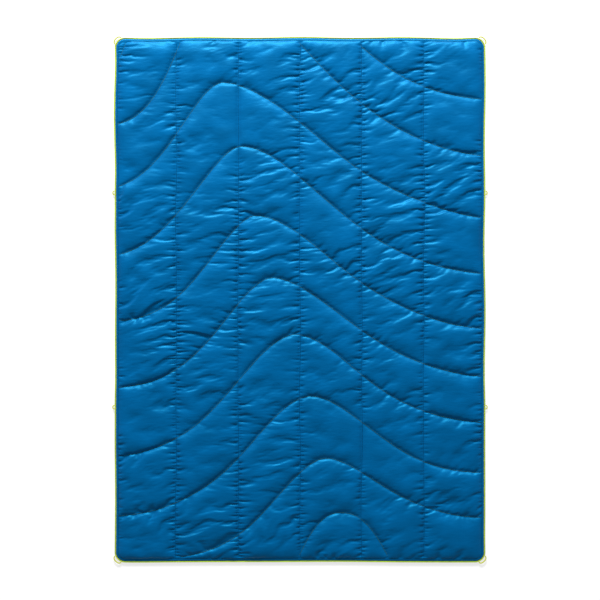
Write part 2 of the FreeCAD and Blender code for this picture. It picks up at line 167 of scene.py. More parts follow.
def quilting_grid(step_x, step_y):
    """A grid over the fabric whose vertices lie exactly on every seam, and which ones those are."""
    rims = []
    for stitch, end in ((EDGE_STITCH_X, FABRIC_X), (EDGE_STITCH_Y, FABRIC_Y)):
        lip = end - LIP
        rims.append([stitch, (stitch + lip) / 2, lip, end - SEWN_IN - GROOVE_WIDTH, end])
    rim_x, rim_y = rims
    xs = spaced([*[-x for x in rim_x[::-1]], *COLUMNS, *rim_x], step_x)
    ys = spaced([*[-y for y in rim_y[::-1]], *rim_y], step_y)
    flat_x, flat_y = np.meshgrid(xs, ys)
    sewn = np.zeros(flat_x.shape, bool)
    on_column = np.zeros(len(xs), bool)
    for x in COLUMNS:
        on_column[np.argmin(abs(xs - x))] = True
    sewn[np.ix_(abs(ys) <= COLUMN_END, on_column)] = True
    grid = (xs, ys, flat_x, flat_y, sewn)
    for contour in CONTOURS:
        slide_onto_contour(contour, grid, on_column, step_x, step_y)
    from_middle = np.maximum(np.abs(flat_x) - EDGE_STITCH_X, np.abs(flat_y) - EDGE_STITCH_Y)
    sewn |= np.abs(from_middle) < ON_THE_LINE
    sewn |= from_middle > FABRIC_X - LIP - EDGE_STITCH_X - ON_THE_LINE
    return grid


def round_corners(x, y):
    """Turns the square corners of the grid into round ones, ring by ring."""
    radius = CORNER_RADIUS - PIPING_THICKNESS + SEWN_IN
    centre_x = FABRIC_X - radius
    centre_y = FABRIC_Y - radius
    u = np.clip(np.abs(x) - centre_x, 0, None)
    v = np.clip(np.abs(y) - centre_y, 0, None)
    ring = np.maximum(u, v)
    angle = math.pi / 4 * np.minimum(u, v) / np.maximum(ring, TINY)
    near = ring * np.cos(angle)
    far = ring * np.sin(angle)
    inside_corner = (u > 0) & (v > 0)
    new_x = np.sign(x) * (centre_x + np.where(u >= v, near, far))
    new_y = np.sign(y) * (centre_y + np.where(u >= v, far, near))
    return np.where(inside_corner, new_x, x), np.where(inside_corner, new_y, y)


# ------------------------------ the fabric solver
# A blur reaches this many sigmas, and none is narrower than this.
BLUR_REACH = 3
LEAST_SIGMA = 0.3


def blurred(values, sigma_y, sigma_x):
    """A Gaussian blur, as two passes of weighted shifts."""
    for axis, sigma in ((0, sigma_y), (1, sigma_x)):
        reach = max(1, int(BLUR_REACH * sigma))
        offsets = np.arange(-reach, reach + 1)
        weights = np.exp(-0.5 * (offsets / max(sigma, LEAST_SIGMA)) ** 2)
        pad = [(reach, reach) if a == axis else (0, 0) for a in (0, 1)]
        padded = np.pad(values, pad, mode="edge")
        count = values.shape[axis]
        values = sum(
            w * padded.take(range(reach + o, reach + o + count), axis)
            for o, w in zip(offsets, weights / weights.sum())
        )
    return values


def soft_noise(shape, sigma_y, sigma_x, rng):
    """Blurred random numbers, scaled to a standard deviation of 1."""
    values = blurred(rng.normal(size=shape), sigma_y, sigma_x)
    return values / values.std()


def resampled(values, from_xs, from_ys, xs, ys):
    """Values on one grid, interpolated to another."""
    rows = np.array([np.interp(xs, from_xs, row) for row in values])
    return np.array([np.interp(ys, from_ys, column) for column in rows.T]).T


def streaks_at(angle, shape, steps, width, length, rng):
    """Soft noise in streaks of this width and length that lie at an angle to the X axis."""
    values = soft_noise(shape, width / steps[1], length / steps[0], rng)
    columns = np.arange(shape[1])
    rise = np.round(math.tan(angle) * columns * steps[0] / steps[1]).astype(int)
    rows = (np.arange(shape[0])[:, None] - rise) % shape[0]
    return values[rows, columns]


# Farther away than any seam.
FAR_AWAY = 9.0


def distance_to_seams(flat_x, flat_y, sewn, reach):
    """How far each vertex is from its nearest sewn vertex, up to a reach, by a spreading front."""
    nearest_x = np.where(sewn, flat_x, FAR_AWAY)
    nearest_y = np.where(sewn, flat_y, FAR_AWAY)
    distance = np.hypot(nearest_x - flat_x, nearest_y - flat_y)
    steps = int(reach / min(np.diff(flat_x[0]).mean(), np.diff(flat_y[:, 0]).mean()))
    neighbours = [(0, 1), (0, -1), (1, 0), (-1, 0), (1, 1), (-1, -1), (1, -1), (-1, 1)]
    for _ in range(steps):
        for shift in neighbours:
            x = np.roll(nearest_x, shift, (0, 1))
            y = np.roll(nearest_y, shift, (0, 1))
            there = np.hypot(x - flat_x, y - flat_y)
            closer = there < distance
            distance = np.where(closer, there, distance)
            nearest_x = np.where(closer, x, nearest_x)
            nearest_y = np.where(closer, y, nearest_y)
    return np.minimum(distance, reach)


def thread_springs(flat, angle, spare_across, spare_along, shear):
    """Every pair of neighbours with its length of cloth, in groups that share no vertex.

    The wrinkles lie at an angle: there is spare cloth across them, and a little along them.
    """
    normal = np.stack([-np.sin(angle), np.cos(angle)], -1)
    rows, columns = angle.shape
    everything = slice(None)
    groups = []
    for odd in (0, 1):
        pairs = (columns - odd) // 2
        left = slice(odd, odd + 2 * pairs, 2)
        right = slice(odd + 1, odd + 1 + 2 * pairs, 2)
        groups.append(((everything, left), (everything, right), 1.0))
        pairs = (rows - odd) // 2
        above = slice(odd, odd + 2 * pairs, 2)
        below = slice(odd + 1, odd + 1 + 2 * pairs, 2)
        groups.append(((above, everything), (below, everything), 1.0))
        groups.append(((above, slice(0, -1)), (below, slice(1, None)), shear))
        groups.append(((above, slice(1, None)), (below, slice(0, -1)), shear))
    springs = []
    for a, b, stiffness in groups:
        gap = flat[b] - flat[a]
        length = np.linalg.norm(gap, axis=-1)
        crosswise = ((gap[..., :2] * normal[a]).sum(-1) / length) ** 2
        rest = length * (1 + spare_across[a] * crosswise + spare_along * (1 - crosswise))
        springs.append((a, b, rest, stiffness))
    return springs


def tighten(points, springs):
    """Pulls every pair of neighbours towards its length of cloth."""
    for a, b, rest, stiffness in springs:
        gap = points[b] - points[a]
        length = np.sqrt(np.einsum("ijk,ijk->ij", gap, gap))
        shift = gap * (0.5 * stiffness * (1 - rest / length))[..., None]
        points[a] += shift
        points[b] -= shift


def second_difference(values):
    """How far each point is from lying level with its neighbours along X and along Y."""
    result = np.zeros_like(values)
    result[1:-1] += values[2:] + values[:-2] - 2 * values[1:-1]
    result[:, 1:-1] += values[:, 2:] + values[:, :-2] - 2 * values[:, 1:-1]
    return result


def straighten(points, sewn, bending):
    """Cloth resists bending everywhere but along its seams, where it folds freely."""
    curvature = second_difference(points)
    curvature[sewn] = 0
    points -= bending * second_difference(curvature)


# The filling rises steeply beside a seam and then in a slow dome, and is a little lumpy.
SIDE_SHARE = 0.62
SIDE_REACH = 0.009
DOME_SHARE = 0.38
DOME_REACH = 0.06
LUMPINESS = 0.16
# Farther from a seam than this, the distance to it no longer matters.
SEAM_REACH = 0.09

# Random fields are drawn on a grid of this step. Their patches are so many of its cells in size,
# along Y and X.
FIELD_STEP = 0.01
LUMP_SIZE = (1.3, 1.9)
SPARE_SIZE = (5.0, 8.0)
TURNING_SIZE = (4.0, 4.0)

# Near the corners, and in the border outside the edge stitches, the cloth wrinkles less.
CORNER_CALM = 0.8
CORNER_REACH = 0.04
BORDER_WRINKLES = 0.35

# The long edges work like columns, but weaker.
EDGE_LIKE_COLUMN = 0.6
# Level creases are few in the open and many beside the columns, where wrinkles lie level too.
LEVEL_IN_OPEN = 0.3
LEVEL_AT_COLUMN = 2
LEVELLED_AT_COLUMN = 0.85

# The share of the spare cloth in the open and beside a seam, and how much both of them and the
# slant of the wrinkles vary from place to place.
SPARE_IN_OPEN = 0.7
SPARE_AT_SEAM = 0.4
SPARE_AT_SEAM_REACH = 0.02
SPARE_VARIES = 0.55
SLANT_VARIES = 0.35

SHEAR_STIFFNESS = 0.5
# The sheet starts at this share of the filling's height. While it is solved it may sink this far
# below the web, and rise past the ceiling by this factor.
FIRST_FILLING = 0.8
LOWEST = -0.3 * MM
HEADROOM = 1.2

# Puffed cloth is broad and round between narrow creases: relief finer than this is lowered where
# it stands up, and deepened where it dips.
PUFF_SIZE = 14 * MM
BULGE_FACTOR = 0.55
CREASE_FACTOR = 1.3
# Above this share of the ceiling, heights are squeezed to stay under it.
KNEE_SHARE = 0.8

# One level of solving: the steps of its grid, how many times it is relaxed, the stiffness in
# bending, the hold of the filling, and the size of the first random creases.
Level = namedtuple(
    "Level", "step_x step_y rounds bending hold crease_depth crease_width crease_length"
)
# The spare cloth across and along the wrinkles, how much more of it there is beside the columns,
# and within what distance.
Slack = namedtuple("Slack", "across along at_columns column_reach")


def random_fields(seed):
    """Lumps in the filling, spare cloth and turning of the wrinkles, with their grid before them."""
    rng = np.random.default_rng(seed + 1)
    xs = np.arange(-FABRIC_X, FABRIC_X, FIELD_STEP)
    ys = np.arange(-FABRIC_Y, FABRIC_Y, FIELD_STEP)
    sizes = (LUMP_SIZE, SPARE_SIZE, TURNING_SIZE)
    return xs, ys, [soft_noise((len(ys), len(xs)), *size, rng) for size in sizes]


def filling_height(height, from_seam, lumps):
    side = 1 - np.exp(-from_seam / SIDE_REACH)
    dome = np.tanh(from_seam / DOME_REACH)
    return height * (SIDE_SHARE * side + DOME_SHARE * dome) * (1 + LUMPINESS * lumps)


def wrinkling(flat_x, flat_y):
    """1 where the cloth wrinkles freely, and less near the corners and in the border."""
    from_corner = np.hypot(np.abs(flat_x) - FABRIC_X, np.abs(flat_y) - FABRIC_Y)
    in_border = np.maximum(np.abs(flat_x) - EDGE_STITCH_X, np.abs(flat_y) - EDGE_STITCH_Y) > 0
    at_corner = 1 - CORNER_CALM * np.exp(-((from_corner / CORNER_REACH) ** 2))
    return at_corner * np.where(in_border, BORDER_WRINKLES, 1.0)


def nearness_to_columns(flat_x, reach):
    from_column = np.min(np.abs(flat_x[..., None] - np.array(COLUMNS)), -1)
    from_side = np.abs(np.abs(flat_x) - EDGE_STITCH_X)
    return np.exp(-from_column / reach) + EDGE_LIKE_COLUMN * np.exp(-from_side / reach)


def first_creases(level, shape, beside_column, rng):
    """Random creases for the buckling to start from: slanting in the open, level at the columns."""
    steps = (level.step_x, level.step_y)
    size = (level.crease_width, level.crease_length)
    slanting = streaks_at(SLANT, shape, steps, *size, rng) * (1 - beside_column)
    amount = LEVEL_IN_OPEN + LEVEL_AT_COLUMN * beside_column
    flat_lying = streaks_at(0, shape, steps, *size, rng) * amount
    return level.crease_depth * (slanting + flat_lying)


def puffed(height, step_x, step_y):
    broad = blurred(height, PUFF_SIZE / step_y, PUFF_SIZE / step_x)
    fine = height - broad
    return broad + np.where(fine > 0, BULGE_FACTOR, CREASE_FACTOR) * fine


def kept_under(height, ceiling):
    knee = ceiling * KNEE_SHARE
    above = np.clip(height - knee, 0, None)
    room = ceiling - knee
    return np.where(above > 0, knee + room * (1 - np.exp(-above / room)), height)


def buckled_sheet(levels, height, ceiling, slack, seed):
    """A sheet of cloth on filling of this height, solved on ever finer grids.

    Heights are above the web. Returns its points, the same points laid flat, and which are sewn.
    """
    rng = np.random.default_rng(seed)
    field_xs, field_ys, fields = random_fields(seed)
    coarse = None
    for level in levels:
        xs, ys, flat_x, flat_y, sewn = quilting_grid(level.step_x, level.step_y)
        lumps, spare, turning = (resampled(field, field_xs, field_ys, xs, ys) for field in fields)
        from_seam = distance_to_seams(flat_x, flat_y, sewn, SEAM_REACH)
        filling = filling_height(height, from_seam, lumps)
        free = wrinkling(flat_x, flat_y)
        flat_x, flat_y = round_corners(flat_x, flat_y)
        flat = np.stack([flat_x, flat_y, np.zeros_like(flat_x)], -1)
        points = flat.copy()
        if coarse is None:
            points[..., 2] = filling * FIRST_FILLING
        else:
            coarse_xs, coarse_ys, moved = coarse
            for axis in range(3):
                points[..., axis] += resampled(moved[..., axis], coarse_xs, coarse_ys, xs, ys)
        beside_column = nearness_to_columns(flat_x, slack.column_reach)
        points[..., 2] += first_creases(level, flat_x.shape, beside_column, rng) * free * ~sewn
        at_seam = SPARE_AT_SEAM * np.exp(-from_seam / SPARE_AT_SEAM_REACH)
        share = SPARE_IN_OPEN + at_seam + slack.at_columns * beside_column
        across = np.clip(slack.across * share * free * (1 + SPARE_VARIES * spare), 0, None)
        angle = (SLANT + SLANT_VARIES * turning) * (1 - LEVELLED_AT_COLUMN * beside_column)
        springs = thread_springs(flat, angle, across, slack.along, SHEAR_STIFFNESS)
        for _ in range(level.rounds):
            points[..., 2] += level.hold * (filling - points[..., 2])
            tighten(points, springs)
            straighten(points, sewn, level.bending)
            points[..., 2] = np.clip(points[..., 2], LOWEST, ceiling * HEADROOM)
            points[sewn] = flat[sewn]
        coarse = (xs, ys, points - flat)
    rounded = puffed(points[..., 2], level.step_x, level.step_y)
    points[..., 2] = np.where(sewn, points[..., 2], np.clip(rounded, LOWEST, None))
    points[..., 2] = kept_under(points[..., 2], ceiling)
    return points, flat, sewn


# ------------------------------ mesh helpers
LOOP_JOINTS = [j for j in frame["record"]["behaviour"]["joints"] if "loop" in j["child"]]
# Seams and edges wander in this many waves of this height, with lengths between these two, but
# not within this distance of a cord loop.
WANDER_WAVES = 6
UNEVENNESS = 0.8 * MM
WANDER_LENGTHS = (0.22, 0.7)
LOOP_CALM_REACH = 0.06
WANDER_SEED = 3


def laid_out(points):
    """The points of a piece as it lies: seams and edges wander a little, though not at the loops."""
    points = np.array(points, float)
    x, y = points[:, 0], points[:, 1]
    rng = np.random.default_rng(WANDER_SEED)
    shift = np.zeros((len(points), 2))
    for _ in range(WANDER_WAVES):
        angle, phase_x, phase_y = rng.uniform(0, 2 * math.pi, 3)
        wavelength = rng.uniform(*WANDER_LENGTHS)
        reached = (x * math.cos(angle) + y * math.sin(angle)) * 2 * math.pi / wavelength
        shift += UNEVENNESS * np.column_stack([np.sin(reached + phase_x), np.sin(reached + phase_y)])
    for joint in LOOP_JOINTS:
        away = np.hypot(x - joint["pos_m"][0], y - joint["pos_m"][1])
        shift *= (1 - np.exp(-((away / LOOP_CALM_REACH) ** 2)))[:, None]
    points[:, :2] += shift
    return points


def mesh_object(name, points, faces, uvs=None, smooth=True):
    """A new object in the scene. uvs holds one pair for each point."""
    mesh = bpy.data.meshes.new(name)
    mesh.from_pydata(laid_out(points).tolist(), [], [list(face) for face in faces])
    mesh.polygons.foreach_set("use_smooth", [smooth] * len(mesh.polygons))
    if uvs is not None:
        layer = mesh.uv_layers.new(name="flat")
        corners = np.empty(len(mesh.loops), int)
        mesh.loops.foreach_get("vertex_index", corners)
        layer.data.foreach_set("uv", np.asarray(uvs)[corners].ravel())
    mesh.update()
    piece = bpy.data.objects.new(name, mesh)
    bpy.context.scene.collection.objects.link(piece)
    return piece


def across_fold(piece, *nodes):
    """The piece stands for these nodes, which are hidden, and its transform is baked into its mesh.
    """
    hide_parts(*nodes)
    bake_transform(piece)


def grid_faces(sewn, upward):
    """Quads of a grid, cut in two along any seam that runs from corner to corner of a quad."""
    rows, columns = sewn.shape
    a = (np.arange(rows - 1)[:, None] * columns + np.arange(columns - 1)).ravel()
    b = a + 1
    c = a + columns + 1
    d = a + columns
    flags = sewn.ravel()
    rising = flags[a] & flags[c] & ~flags[b] & ~flags[d]
    falling = flags[b] & flags[d] & ~flags[a] & ~flags[c]
    plain = ~(rising | falling)
    faces = np.stack([a, b, c, d], 1)[plain].tolist()
    faces += np.stack([a, b, c], 1)[rising].tolist() + np.stack([a, c, d], 1)[rising].tolist()
    faces += np.stack([a, b, d], 1)[falling].tolist() + np.stack([b, c, d], 1)[falling].tolist()
    return faces if upward else [face[::-1] for face in faces]


# ------------------------------ the quilted body
LEVELS = [
    Level(12 * MM, 10 * MM, 260, 0.004, 0.002, 2.5 * MM, 5 * MM, 14 * MM),
    Level(7 * MM, 5 * MM, 160, 0.005, 0.004, 1.0 * MM, 2.6 * MM, 8 * MM),
    Level(4.5 * MM, 2.6 * MM, 110, 0.004, 0.005, 0.35 * MM, 1.5 * MM, 6 * MM),
]
FACE_SLACK = Slack(0.047, 0.019, 2.0, 14 * MM)
BACK_SLACK = Slack(0.02, 0.014, 2.0, 14 * MM)
# The filling's height above and below the web, and the seed of each side's wrinkles.
FACE_FILLING = 12.0 * MM
BACK_FILLING = 3.4 * MM
FACE_SEED = 5
BACK_SEED = 17
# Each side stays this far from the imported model's top or from the floor.
FACE_CLEAR = 0.4 * MM
BACK_CLEAR = 0.3 * MM
# Along the rim the back shell lies this far below the face shell.
RIM_GAP = 0.3 * MM
# So many rings of vertices at the rim lie in the groove.
GROOVE_RINGS = 2


def quilted_body():
    face_ceiling = LOFT - WEB_TOP - FACE_CLEAR
    back_ceiling = WEB_BOTTOM - BACK_CLEAR
    face, flat, sewn = buckled_sheet(LEVELS, FACE_FILLING, face_ceiling, FACE_SLACK, FACE_SEED)
    back, _, _ = buckled_sheet(LEVELS, BACK_FILLING, back_ceiling, BACK_SLACK, BACK_SEED)
    face[..., 2] = WEB_TOP + face[..., 2]
    back[..., 2] = WEB_BOTTOM - back[..., 2]
    rings = GROOVE_RINGS
    for sheet, seam_z in ((face, GROOVE), (back, GROOVE - RIM_GAP)):
        for rim in (sheet[:rings], sheet[-rings:], sheet[:, :rings], sheet[:, -rings:]):
            rim[..., 2] = seam_z
    uvs = flat[..., :2].reshape(-1, 2)
    upper = mesh_object("face_shell", face.reshape(-1, 3), grid_faces(sewn, True), uvs)
    lower = mesh_object("back_shell", back.reshape(-1, 3), grid_faces(sewn, False), uvs)
    filling = batting(face, back)
    across_fold(upper, "face_shell_left", "face_shell_right")
    across_fold(lower, "back_shell_left", "back_shell_right")
    across_fold(filling, "batting_left", "batting_right")
    upper.data.materials.append(nylon("nylon_face", FACE_BLUE, roughness=0.43))
    lower.data.materials.append(nylon("nylon_back", BACK_BLUE, roughness=0.6))
    filling.data.materials.append(fleece("batting_fibre"))


# The batting uses every third row and column of the shells' vertices. It stays this far below the
# face, and as far above the back where that leaves it at least this thick.
BATTING_SKIP = 3
BATTING_CLEAR = 0.9 * MM
BATTING_LEAST = 0.2 * MM
# Near the fold it has every column, as the shells do.
BATTING_FOLD_REACH = FOLD_REACH * 1.3


def batting(face, back):
    """The filling between both shells. It stops short of the rim, where they come together."""
    skip = BATTING_SKIP
    inner_x = -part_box("batting_left")[0][0]
    inner_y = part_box("batting_left")[1][1]
    rows = np.arange(2 * skip, face.shape[0] - 2 * skip, skip)
    columns = np.arange(2 * skip, face.shape[1] - 2 * skip, skip)
    at_fold = np.nonzero(np.abs(face[0, :, 0]) < BATTING_FOLD_REACH)[0]
    columns = np.unique(np.concatenate([columns, at_fold]))

    def lowest_around(values):
        """The lowest value within a skip of each chosen vertex."""
        size = 2 * skip + 1
        windows = [
            values[np.ix_(np.clip(rows + i - skip, 0, None), np.clip(columns + j - skip, 0, None))]
            for i in range(size)
            for j in range(size)
        ]
        return np.min(windows, axis=0)

    face_z = np.pad(face[..., 2], ((0, skip), (0, skip)), mode="edge")
    back_z = np.pad(back[..., 2], ((0, skip), (0, skip)), mode="edge")
    top_z = lowest_around(face_z) - BATTING_CLEAR
    low_z = -lowest_around(-back_z) + BATTING_CLEAR
    low_z = np.minimum(low_z, top_z - BATTING_LEAST)
    x = np.clip(face[np.ix_(rows, columns)][..., 0], -inner_x, inner_x)
    y = np.clip(face[np.ix_(rows, columns)][..., 1], -inner_y, inner_y)
    top = np.stack([x, y, top_z], -1).reshape(-1, 3)
    low = np.stack([x, y, low_z], -1).reshape(-1, 3)
    count = len(top)
    unsewn = np.zeros((len(rows), len(columns)), bool)
    faces = grid_faces(unsewn, True)
    faces += [[i + count for i in quad] for quad in grid_faces(unsewn, False)]
    index = np.arange(count).reshape(unsewn.shape)
    rim = [*index[0], *index[1:, -1], *index[-1, -2::-1], *index[-2:0:-1, 0]]
    for a, b in zip(rim, rim[1:] + rim[:1]):
        faces.append([b, a, a + count, b + count])
    return mesh_object("batting", np.concatenate([top, low]), faces)


# ------------------------------ the edge
# Points in a quarter turn round a corner, the steps along the edge, and the sides of the piping.
CORNER_POINTS = 13
EDGE_STEP = 4 * MM
PIPING_SIDES = 12
TAPE_WIDTH = 4 * MM
# The tape's top lies this far above the groove.
TAPE_RISE = 0.4 * MM


def perimeter(inset, step):
    """Points round the blanket at an inset from its outline, and the outward directions there."""
    radius = CORNER_RADIUS - inset
    centre_x = OUTER_X - CORNER_RADIUS
    centre_y = OUTER_Y - CORNER_RADIUS
    points = []
    outward = []
    for quarter, (sign_x, sign_y) in enumerate(((1, 1), (-1, 1), (-1, -1), (1, -1))):
        angles = quarter * math.pi / 2 + np.linspace(0, math.pi / 2, CORNER_POINTS)
        for angle in angles:
            way_x = math.cos(angle)
            way_y = math.sin(angle)
            outward.append((way_x, way_y))
            points.append((sign_x * centre_x + radius * way_x, sign_y * centre_y + radius * way_y))
    filled_points = []
    filled_outward = []
    for i, point in enumerate(points):
        following = points[(i + 1) % len(points)]
        count = max(1, round(math.dist(point, following) / step))
        for k in range(count):
            share = k / count
            filled_points.append([p + (q - p) * share for p, q in zip(point, following)])
            filled_outward.append(outward[i])
    return np.array(filled_points), np.array(filled_outward)


def edge_strip(name, inset, section):
    """Sweeps a closed section of (outward, up) points round the blanket."""
    path, outward = perimeter(inset, EDGE_STEP)
    section = np.asarray(section)
    count = len(path)
    sides = len(section)
    points = np.empty((count, sides, 3))
    points[..., :2] = path[:, None] + outward[:, None] * section[None, :, :1]
    points[..., 2] = section[None, :, 1]
    first = np.arange(count)[:, None] * sides + np.arange(sides)
    after = np.roll(first, -1, 0)
    faces = np.stack([first, after, np.roll(after, -1, 1), np.roll(first, -1, 1)], -1)
    return mesh_object(name, points.reshape(-1, 3), faces.reshape(-1, 4))


def edge():
    turns = np.linspace(0, 2 * math.pi, PIPING_SIDES, endpoint=False)
    radius = PIPING_THICKNESS / 2
    round_section = [(radius * math.cos(t), WEB_MIDDLE + radius * math.sin(t)) for t in turns]
    piping = edge_strip("piping", radius, round_section)
    across_fold(piping, "piping_left", "piping_right")
    cover = woven("piping_cover", PIPING_GREEN, roughness=0.6, weave=PIPING_WEAVE)
    piping.data.materials.append(cover)

    tape_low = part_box("piping_tape_left")[0]
    bottom = tape_low[2]
    top = GROOVE + TAPE_RISE
    flat_section = [(0, bottom), (0, top), (-TAPE_WIDTH, top), (-TAPE_WIDTH, bottom)]
    tape = edge_strip("piping_tape", OUTER_X + tape_low[0], flat_section)
    across_fold(tape, "piping_tape_left", "piping_tape_right")
    webbing = woven("tape_weave", TAPE_GREEN, roughness=0.7, weave=TAPE_WEAVE)
    tape.data.materials.append(webbing)


# ------------------------------ stitches
STITCH_PITCH = 3.6 * MM
STITCH_GAP = 0.7 * MM
# The rings of one stitch: the place along its half length, and its size and rise in radii.
STITCH_RINGS = ((-1, 0.35, -0.35), (-0.55, 0.95, 0.3), (0.55, 0.95, 0.3), (1, 0.35, -0.35))
STITCH_SIDES = 6
# A stitch is a little flatter than wide, and its thread lies this many radii outside the web.
STITCH_FLATNESS = 0.8
STITCH_RISE = 0.55
# The distance over which a path's direction is measured.
LOOK_AHEAD = 1e-4
# Steps along the seams.
COLUMN_STEP = 2 * MM
EDGE_STITCH_STEP = 3 * MM
CONTOUR_STEP = 1 * MM
CLOSING_STEP = 12 * MM
CLOSING_RADIUS = 0.25 * MM


def lengths_along(path):
    """How far along a path each of its points is."""
    return np.concatenate([[0], np.cumsum(np.linalg.norm(np.diff(path, axis=0), axis=1))])


def stitch_row(path, radius, side):
    """Points and faces of a row of stitches along a path, raised in the middle of each one.

    side is 1 on the face and -1 on the back.
    """
    reached = lengths_along(path)
    count = max(1, int(reached[-1] / STITCH_PITCH))
    middles = (np.arange(count) + 0.5) * reached[-1] / count
    half = (STITCH_PITCH - STITCH_GAP) / 2

    def on_path(distance, axis):
        return np.interp(distance, reached, path[:, axis])

    rings = []
    for shift, size, rise in STITCH_RINGS:
        at = middles + shift * half
        x = on_path(at, 0)
        y = on_path(at, 1)
        z = on_path(at, 2) + side * rise * radius
        ahead_x = on_path(at + LOOK_AHEAD, 0) - on_path(at - LOOK_AHEAD, 0)
        ahead_y = on_path(at + LOOK_AHEAD, 1) - on_path(at - LOOK_AHEAD, 1)
        length = np.maximum(np.hypot(ahead_x, ahead_y), TINY)
        side_x = -ahead_y / length
        side_y = ahead_x / length
        for turn in np.arange(STITCH_SIDES) * 2 * math.pi / STITCH_SIDES:
            over = math.cos(turn) * size * radius
            up = math.sin(turn) * size * radius * STITCH_FLATNESS
            rings.append(np.stack([x + side_x * over, y + side_y * over, z + up], -1))
    points = np.stack(rings, 1)
    sides = STITCH_SIDES
    points_each = len(STITCH_RINGS) * sides
    quads = []
    for ring in range(len(STITCH_RINGS) - 1):
        for i in range(sides):
            a = ring * sides + i
            b = ring * sides + (i + 1) % sides
            quads.append([a, b, b + sides, a + sides])
    caps = [range(sides - 1, -1, -1), range(points_each - sides, points_each)]
    first_points = range(0, count * points_each, points_each)
    faces = [[first + i for i in quad] for first in first_points for quad in quads]
    faces += [[first + i for i in cap] for first in first_points for cap in caps]
    return points.reshape(-1, 3), faces


def stitched(name, paths, nodes, material):
    """One piece that holds the needle stitches on the face and the bobbin stitches on the back."""
    all_points = []
    all_faces = []
    total = 0
    for path in paths:
        for side, level in ((1, WEB_TOP), (-1, WEB_BOTTOM)):
            thread_z = level + side * THREAD_RADIUS * STITCH_RISE
            line = np.column_stack([path, np.full(len(path), thread_z)])
            points, faces = stitch_row(line, THREAD_RADIUS, side)
            all_faces += [[i + total for i in face] for face in faces]
            all_points.append(points)
            total += len(points)
    piece = mesh_object(name, np.concatenate(all_points), all_faces)
    across_fold(piece, *nodes)
    piece.data.materials.append(material)


def once_round(inset, step):
    """A path round the blanket that ends where it starts."""
    path, _ = perimeter(inset, step)
    return np.vstack([path, path[:1]])


def stitches():
    blue = thread("blue_thread", THREAD_BLUE)
    lime = thread("lime_thread", THREAD_LIME)
    for i, x in enumerate(COLUMNS, start=1):
        y = np.arange(-COLUMN_END, COLUMN_END, COLUMN_STEP)
        path = np.column_stack([np.full(len(y), x), y])
        stitched(f"column_stitches_{i}", [path], [f"column_stitch_{i}"], blue)

    edge_path = once_round(STITCH_INSET, EDGE_STITCH_STEP)
    edge_nodes = ["edge_stitch_left", "edge_stitch_right"]
    stitched("edge_stitches", [edge_path], edge_nodes, blue)

    for i, contour in enumerate(CONTOURS, start=1):
        x = np.arange(contour.start_x, contour.end_x, CONTOUR_STEP)
        y = contour_height(x, contour)
        sewn = np.abs(y) < COLUMN_END
        breaks = np.nonzero(np.diff(sewn.astype(int)))[0] + 1
        runs = [run for run in np.split(np.arange(len(x)), breaks) if sewn[run[0]]]
        paths = [np.column_stack([x[run], y[run]]) for run in runs]
        nodes = [n for n in frame["nodes"] if n.startswith(f"contour_stitch_{i:02d}_")]
        stitched(f"contour_stitches_{i:02d}", paths, nodes, lime)

    inset = OUTER_X + (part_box("closing_seam_left")[0][0] + THREAD_RADIUS)
    path = once_round(inset, CLOSING_STEP)
    line = np.column_stack([path, np.full(len(path), GROOVE)])
    points, faces = stitch_row(line, CLOSING_RADIUS, 1)
    piece = mesh_object("closing_seam", points, faces)
    across_fold(piece, "closing_seam_left", "closing_seam_right")
    piece.data.materials.append(blue)


# ------------------------------ cord loops
# The braid: the sides of its tube, its strands each way round, the length in which they go round
# once, and the shares of the radius that are core and ridge.
CORD_SIDES = 24
CORD_STRANDS = 4
CORD_LAY = 9 * MM
CORD_CORE = 0.93
CORD_RIDGE = 0.07


def braided_tube(name, path, radius):
    """A closed tube along a path, with a radius for each point, ridged by the strands of a braid."""
    ahead = np.gradient(path, axis=0)
    ahead /= np.linalg.norm(ahead, axis=1, keepdims=True)
    up = np.array([0.0, 0.0, 1.0])
    side = np.cross(up, ahead)
    side /= np.linalg.norm(side, axis=1, keepdims=True)
    sides = CORD_SIDES
    turns = np.arange(sides) * 2 * math.pi / sides
    twist = lengths_along(path)[:, None] * (2 * math.pi / CORD_LAY)
    wave = np.cos(CORD_STRANDS * (turns[None] + twist))
    counter = np.cos(CORD_STRANDS * (turns[None] - twist))
    size = radius[:, None] * (CORD_CORE + CORD_RIDGE * np.maximum(wave, counter))
    points = (
        path[:, None]
        + side[:, None] * (np.cos(turns)[None] * size)[..., None]
        + up * (np.sin(turns)[None] * size)[..., None]
    )
    count = len(path)
    first = np.arange(count - 1)[:, None] * sides + np.arange(sides)
    after = first + sides
    next_side = np.roll(np.arange(sides), -1)
    faces = np.stack([first, first[:, next_side], after[:, next_side], after], -1)
    faces = faces.reshape(-1, 4).tolist()
    faces.append(list(range(sides)))
    faces.append(list(range(count * sides - 1, (count - 1) * sides - 1, -1)))
    return mesh_object(name, points.reshape(-1, 3), faces)


# Each cord runs this far into the seam, and outside it swells to its full thickness within this
# distance of its hinge.
CORD_SEWN_IN = 6 * MM
CORD_BEND = 2.6 * MM
CORD_STEP = 0.4 * MM
CORD_SAMPLES = 110
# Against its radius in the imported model, the cord is thicker outside the seam by the first share
# and thinner inside it by the second.
CORD_FULLER = 0.35
CORD_PINCHED = 0.4
# A loop leaves the edge at half a span either side of its hinge. Below 1, the fullness makes it
# squarer than half an ellipse.
Loop = namedtuple("Loop", "half_span reach fullness")
SIDE_LOOP = Loop(6.0 * MM, 4.1 * MM, 0.9)
CORNER_LOOP = Loop(14.77 * MM, 10.3 * MM, 0.86)


